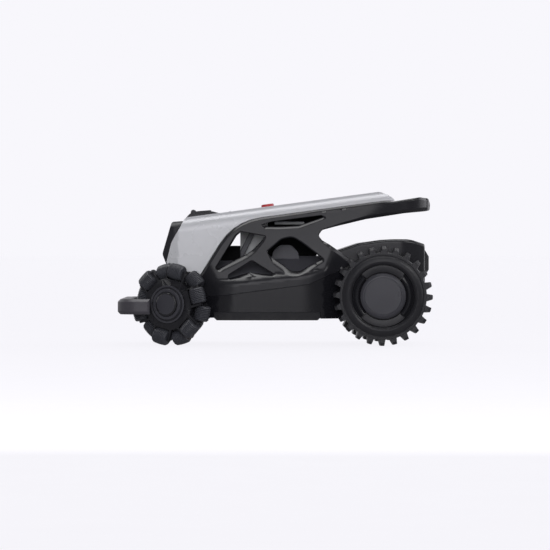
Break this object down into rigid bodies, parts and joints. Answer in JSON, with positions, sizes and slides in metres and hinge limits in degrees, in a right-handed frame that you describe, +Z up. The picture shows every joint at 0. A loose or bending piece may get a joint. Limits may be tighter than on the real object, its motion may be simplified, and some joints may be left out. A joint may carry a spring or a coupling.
{
  "type": "robotic lawn mower",
  "caption": "Robotic lawn mower with a tilted shell on open side frames, lugged rear wheels, angled front roller wheels, a sprung front bumper bar and a height-adjusted blade disc.",
  "frame": {"origin": "on the ground below the middle of the machine, halfway along its length and between its sides", "axes": "+X forward towards the bumper, +Y to the machine's left, +Z up"},
  "size_m": [0.7599, 0.532, 0.3725],
  "materials": {
    "silver_shell": "satin silver paint on a moulded shell",
    "charcoal_plastic": "fine-textured charcoal moulding",
    "chassis_plastic": "fine-textured dark grey moulding",
    "deck_plastic": "fine-textured grey moulding",
    "light_plastic": "light grey moulding",
    "black_plastic": "satin black",
    "dark_window": "smooth glossy black, dark tinted",
    "tyre_rubber": "matt black rubber",
    "roller_rubber": "ribbed matt rubber",
    "rim_plastic": "satin dark grey moulding",
    "cap_plastic": "satin grey moulding",
    "red_plastic": "satin red",
    "bumper_rubber": "matt soft-touch bumper skin",
    "steel": "machined steel",
    "motor_metal": "cast motor housing",
    "blade_steel": "ground blade steel",
    "disc_plastic": "moulded blade carrier",
    "battery_case": "blue battery sleeve",
    "circuit_board": "green board",
    "button_grey": "pale grey button"
  },
  "bodies": {
    "root": {"lower_chassis": "chassis_plastic", "deck_cover": "deck_plastic", "skid_plate": "chassis_plastic", "left_side_frame": "charcoal_plastic", "right_side_frame": "charcoal_plastic", "rear_handle": "charcoal_plastic", "top_shell": "silver_shell", "nose_housing": "charcoal_plastic", "camera_window": "dark_window", "camera_modules": "black_plastic", "centre_tower": "light_plastic", "battery_pack": "battery_case", "control_board": "circuit_board", "panel_base": "black_plastic", "rear_housing": "charcoal_plastic", "charging_pad": "black_plastic", "front_axles": "motor_metal", "drive_motors": "motor_metal", "screws": "steel"},
    "bumper": {"bumper": "bumper_rubber"},
    "panel_lid": {"panel_lid": "black_plastic"},
    "stop_button": {"stop_button": "red_plastic"},
    "power_button": {"power_button": "button_grey"},
    "cutter_carriage": {"cutter_motor": "motor_metal"},
    "blade_disc": {"blade_disc": "disc_plastic"},
    "blade_1": {"blade_1": "blade_steel"},
    "blade_2": {"blade_2": "blade_steel"},
    "blade_3": {"blade_3": "blade_steel"},
    "rear_left_wheel": {"rear_left_tyre": "tyre_rubber", "rear_left_rim": "rim_plastic", "rear_left_cap": "cap_plastic"},
    "rear_right_wheel": {"rear_right_tyre": "tyre_rubber", "rear_right_rim": "rim_plastic", "rear_right_cap": "cap_plastic"},
    "front_left_wheel": {"front_left_hub": "rim_plastic"},
    "front_right_wheel": {"front_right_hub": "rim_plastic"},
    "front_left_roller_1": {"front_left_roller_1": "roller_rubber"},
    "front_left_roller_2": {"front_left_roller_2": "roller_rubber"},
    "front_left_roller_3": {"front_left_roller_3": "roller_rubber"},
    "front_left_roller_4": {"front_left_roller_4": "roller_rubber"},
    "front_left_roller_5": {"front_left_roller_5": "roller_rubber"},
    "front_left_roller_6": {"front_left_roller_6": "roller_rubber"},
    "front_left_roller_7": {"front_left_roller_7": "roller_rubber"},
    "front_left_roller_8": {"front_left_roller_8": "roller_rubber"},
    "front_left_roller_9": {"front_left_roller_9": "roller_rubber"},
    "front_left_roller_10": {"front_left_roller_10": "roller_rubber"},
    "front_left_roller_11": {"front_left_roller_11": "roller_rubber"},
    "front_left_roller_12": {"front_left_roller_12": "roller_rubber"},
    "front_right_roller_1": {"front_right_roller_1": "roller_rubber"},
    "front_right_roller_2": {"front_right_roller_2": "roller_rubber"},
    "front_right_roller_3": {"front_right_roller_3": "roller_rubber"},
    "front_right_roller_4": {"front_right_roller_4": "roller_rubber"},
    "front_right_roller_5": {"front_right_roller_5": "roller_rubber"},
    "front_right_roller_6": {"front_right_roller_6": "roller_rubber"},
    "front_right_roller_7": {"front_right_roller_7": "roller_rubber"},
    "front_right_roller_8": {"front_right_roller_8": "roller_rubber"},
    "front_right_roller_9": {"front_right_roller_9": "roller_rubber"},
    "front_right_roller_10": {"front_right_roller_10": "roller_rubber"},
    "front_right_roller_11": {"front_right_roller_11": "roller_rubber"},
    "front_right_roller_12": {"front_right_roller_12": "roller_rubber"}
  },
  "joints": [
    {"name": "bumper_push", "type": "slide", "parent": "root", "child": "bumper", "axis": [-1, 0, 0], "range_m": [0, 0.008], "stiffness_N_per_m": 1500},
    {"name": "panel_lid_hinge", "type": "hinge", "parent": "root", "child": "panel_lid", "pos_m": [0.20013, 0, 0.32289], "axis": [0, 1, 0], "range_deg": [0, 100]},
    {"name": "stop_button_press", "type": "slide", "parent": "root", "child": "stop_button", "axis": [-0.1323, 0, -0.9912], "range_m": [0, 0.004], "stiffness_N_per_m": 800},
    {"name": "power_button_press", "type": "slide", "parent": "root", "child": "power_button", "axis": [-0.1323, 0, -0.9912], "range_m": [0, 0.0012], "stiffness_N_per_m": 500},
    {"name": "cutter_height", "type": "slide", "parent": "root", "child": "cutter_carriage", "axis": [0, 0, -1], "range_m": [0, 0.045]},
    {"name": "blade_disc_spin", "type": "hinge", "parent": "cutter_carriage", "child": "blade_disc", "pos_m": [0.019, 0, 0.076], "axis": [0, 0, 1], "continuous": true},
    {"name": "blade_1_pivot", "type": "hinge", "parent": "blade_disc", "child": "blade_1", "pos_m": [0.091, 0, 0.0715], "axis": [0, 0, 1], "continuous": true},
    {"name": "blade_2_pivot", "type": "hinge", "parent": "blade_disc", "child": "blade_2", "pos_m": [-0.017, 0.06235, 0.0715], "axis": [0, 0, 1], "continuous": true},
    {"name": "blade_3_pivot", "type": "hinge", "parent": "blade_disc", "child": "blade_3", "pos_m": [-0.017, -0.06235, 0.0715], "axis": [0, 0, 1], "continuous": true},
    {"name": "rear_left_wheel_spin", "type": "hinge", "parent": "root", "child": "rear_left_wheel", "pos_m": [-0.26, 0.22, 0.12], "axis": [0, 1, 0], "continuous": true},
    {"name": "rear_right_wheel_spin", "type": "hinge", "parent": "root", "child": "rear_right_wheel", "pos_m": [-0.26, -0.22, 0.12], "axis": [0, 1, 0], "continuous": true},
    {"name": "front_left_wheel_spin", "type": "hinge", "parent": "root", "child": "front_left_wheel", "pos_m": [0.25, 0.2, 0.1], "axis": [0.454, 0.891, 0], "continuous": true},
    {"name": "front_right_wheel_spin", "type": "hinge", "parent": "root", "child": "front_right_wheel", "pos_m": [0.25, -0.2, 0.1], "axis": [-0.454, 0.891, 0], "continuous": true},
    {"name": "front_left_roller_1_spin", "type": "hinge", "parent": "front_left_wheel", "child": "front_left_roller_1", "pos_m": [0.32473, 0.17539, 0.07916], "axis": [-0.2306, 0.1175, -0.9659], "continuous": true},
    {"name": "front_left_roller_2_spin", "type": "hinge", "parent": "front_left_wheel", "child": "front_left_roller_2", "pos_m": [0.29527, 0.16347, 0.04308], "axis": [-0.63, 0.321, -0.7071], "continuous": true},
    {"name": "front_left_roller_3_spin", "type": "hinge", "parent": "front_left_wheel", "child": "front_left_roller_3", "pos_m": [0.27401, 0.20123, 0.02224], "axis": [-0.8606, 0.4385, -0.2588], "continuous": true},
    {"name": "front_left_roller_4_spin", "type": "hinge", "parent": "front_left_wheel", "child": "front_left_roller_4", "pos_m": [0.22599, 0.19877, 0.02224], "axis": [-0.8606, 0.4385, 0.2588], "continuous": true},
    {"name": "front_left_roller_5_spin", "type": "hinge", "parent": "front_left_wheel", "child": "front_left_roller_5", "pos_m": [0.20473, 0.23653, 0.04308], "axis": [-0.63, 0.321, 0.7071], "continuous": true},
    {"name": "front_left_roller_6_spin", "type": "hinge", "parent": "front_left_wheel", "child": "front_left_roller_6", "pos_m": [0.17527, 0.22461, 0.07916], "axis": [-0.2306, 0.1175, 0.9659], "continuous": true},
    {"name": "front_left_roller_7_spin", "type": "hinge", "parent": "front_left_wheel", "child": "front_left_roller_7", "pos_m": [0.18617, 0.24599, 0.12083], "axis": [0.2306, -0.1175, 0.9659], "continuous": true},
    {"name": "front_left_roller_8_spin", "type": "hinge", "parent": "front_left_wheel", "child": "front_left_roller_8", "pos_m": [0.19383, 0.21515, 0.15692], "axis": [0.63, -0.321, 0.7071], "continuous": true},
    {"name": "front_left_roller_9_spin", "type": "hinge", "parent": "front_left_wheel", "child": "front_left_roller_9", "pos_m": [0.23688, 0.22015, 0.17776], "axis": [0.8606, -0.4385, 0.2588], "continuous": true},
    {"name": "front_left_roller_10_spin", "type": "hinge", "parent": "front_left_wheel", "child": "front_left_roller_10", "pos_m": [0.26312, 0.17985, 0.17776], "axis": [0.8606, -0.4385, -0.2588], "continuous": true},
    {"name": "front_left_roller_11_spin", "type": "hinge", "parent": "front_left_wheel", "child": "front_left_roller_11", "pos_m": [0.30617, 0.18485, 0.15692], "axis": [0.63, -0.321, -0.7071], "continuous": true},
    {"name": "front_left_roller_12_spin", "type": "hinge", "parent": "front_left_wheel", "child": "front_left_roller_12", "pos_m": [0.31383, 0.15401, 0.12083], "axis": [0.2306, -0.1175, -0.9659], "continuous": true},
    {"name": "front_right_roller_1_spin", "type": "hinge", "parent": "front_right_wheel", "child": "front_right_roller_1", "pos_m": [0.32473, -0.17539, 0.07916], "axis": [-0.2306, -0.1175, -0.9659], "continuous": true},
    {"name": "front_right_roller_2_spin", "type": "hinge", "parent": "front_right_wheel", "child": "front_right_roller_2", "pos_m": [0.29527, -0.16347, 0.04308], "axis": [-0.63, -0.321, -0.7071], "continuous": true},
    {"name": "front_right_roller_3_spin", "type": "hinge", "parent": "front_right_wheel", "child": "front_right_roller_3", "pos_m": [0.27401, -0.20123, 0.02224], "axis": [-0.8606, -0.4385, -0.2588], "continuous": true},
    {"name": "front_right_roller_4_spin", "type": "hinge", "parent": "front_right_wheel", "child": "front_right_roller_4", "pos_m": [0.22599, -0.19877, 0.02224], "axis": [-0.8606, -0.4385, 0.2588], "continuous": true},
    {"name": "front_right_roller_5_spin", "type": "hinge", "parent": "front_right_wheel", "child": "front_right_roller_5", "pos_m": [0.20473, -0.23653, 0.04308], "axis": [-0.63, -0.321, 0.7071], "continuous": true},
    {"name": "front_right_roller_6_spin", "type": "hinge", "parent": "front_right_wheel", "child": "front_right_roller_6", "pos_m": [0.17527, -0.22461, 0.07916], "axis": [-0.2306, -0.1175, 0.9659], "continuous": true},
    {"name": "front_right_roller_7_spin", "type": "hinge", "parent": "front_right_wheel", "child": "front_right_roller_7", "pos_m": [0.18617, -0.24599, 0.12083], "axis": [0.2306, 0.1175, 0.9659], "continuous": true},
    {"name": "front_right_roller_8_spin", "type": "hinge", "parent": "front_right_wheel", "child": "front_right_roller_8", "pos_m": [0.19383, -0.21515, 0.15692], "axis": [0.63, 0.321, 0.7071], "continuous": true},
    {"name": "front_right_roller_9_spin", "type": "hinge", "parent": "front_right_wheel", "child": "front_right_roller_9", "pos_m": [0.23688, -0.22015, 0.17776], "axis": [0.8606, 0.4385, 0.2588], "continuous": true},
    {"name": "front_right_roller_10_spin", "type": "hinge", "parent": "front_right_wheel", "child": "front_right_roller_10", "pos_m": [0.26312, -0.17985, 0.17776], "axis": [0.8606, 0.4385, -0.2588], "continuous": true},
    {"name": "front_right_roller_11_spin", "type": "hinge", "parent": "front_right_wheel", "child": "front_right_roller_11", "pos_m": [0.30617, -0.18485, 0.15692], "axis": [0.63, 0.321, -0.7071], "continuous": true},
    {"name": "front_right_roller_12_spin", "type": "hinge", "parent": "front_right_wheel", "child": "front_right_roller_12", "pos_m": [0.31383, -0.15401, 0.12083], "axis": [0.2306, 0.1175, -0.9659], "continuous": true}
  ]
}
